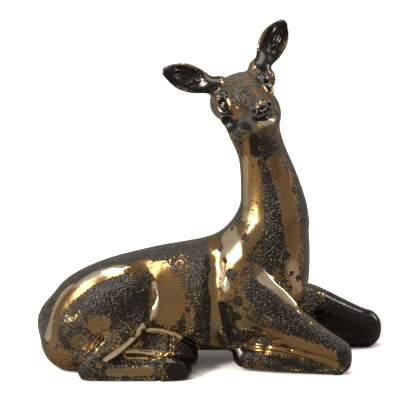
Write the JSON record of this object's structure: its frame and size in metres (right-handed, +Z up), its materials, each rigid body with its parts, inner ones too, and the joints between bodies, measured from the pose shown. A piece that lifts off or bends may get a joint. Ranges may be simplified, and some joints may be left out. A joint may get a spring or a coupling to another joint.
{
  "type": "bronze statuette",
  "caption": "Hollow-cast bronze statuette of a resting doe with her head turned to one side, standing on felt pads.",
  "frame": {"origin": "middle of the overall box, on the surface that the felt pads rest on", "axes": "+Z up, +X from the rump towards the chest and forelegs, +Y towards the doe's left side; the head is turned to -Y"},
  "size_m": [0.2436, 0.113, 0.2459],
  "materials": {
    "patinated_bronze": "gloss",
    "raw_bronze": "satin",
    "eyes": "polished",
    "screws": "satin",
    "felt": "matte"
  },
  "bodies": {
    "root": {"belly_cover": "raw_bronze", "chest_plug": "raw_bronze", "cover_screw_front": "screws", "cover_screw_rear": "screws", "front_body": "patinated_bronze", "head": "patinated_bronze", "head_sleeve": "raw_bronze", "hock_pad": "felt", "left_ear": "patinated_bronze", "left_eye": "eyes", "left_flank_plug": "raw_bronze", "left_foreleg": "patinated_bronze", "left_hind_foot": "patinated_bronze", "left_knee_pad": "felt", "nape_pin_head_left": "raw_bronze", "nape_pin_head_right": "raw_bronze", "nape_pin_neck_left": "raw_bronze", "nape_pin_neck_right": "raw_bronze", "neck": "patinated_bronze", "neck_sleeve": "raw_bronze", "rear_body": "patinated_bronze", "right_ear": "patinated_bronze", "right_eye": "eyes", "right_foreleg": "patinated_bronze", "right_hind_leg": "patinated_bronze", "right_knee_pad": "felt", "rump_pad": "felt", "rump_plug": "raw_bronze", "throat_pin_front_body_left": "raw_bronze", "throat_pin_front_body_right": "raw_bronze", "throat_pin_neck_left": "raw_bronze", "throat_pin_neck_right": "raw_bronze", "waist_pin_front_body_left": "raw_bronze", "waist_pin_front_body_right": "raw_bronze", "waist_pin_rear_body_left": "raw_bronze", "waist_pin_rear_body_right": "raw_bronze", "waist_sleeve": "raw_bronze", "withers_plug": "raw_bronze"}
  },
  "joints": []
}
